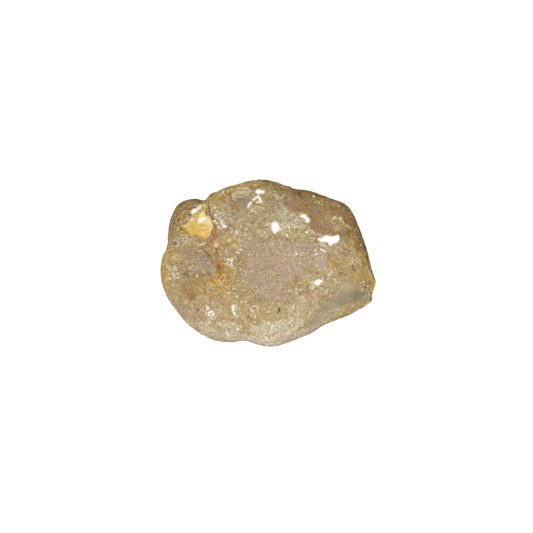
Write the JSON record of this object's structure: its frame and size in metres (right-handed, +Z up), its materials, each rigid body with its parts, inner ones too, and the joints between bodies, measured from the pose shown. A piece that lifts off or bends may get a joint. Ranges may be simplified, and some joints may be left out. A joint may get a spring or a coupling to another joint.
{
  "type": "raw agate",
  "caption": "Rough, water-worn agate nodule: a flattened, lumpy translucent stone with a knob and cleft at one end, a chipped upper corner, and a flat foot to rest on.",
  "frame": {"origin": "middle of the stone's bounding box in plan, on the surface that the stone rests on", "axes": "+X along the stone's longest extent, away from the knob, +Y to the rear, away from the side that the broad face leans to, +Z up out of the flat foot"},
  "size_m": [0.0602, 0.0504, 0.0314],
  "materials": {
    "agate": "waxy translucent chalcedony, honey to mauve-grey, with polished chips and a frosted hollow"
  },
  "bodies": {
    "root": {"agate": "agate"}
  },
  "joints": []
}
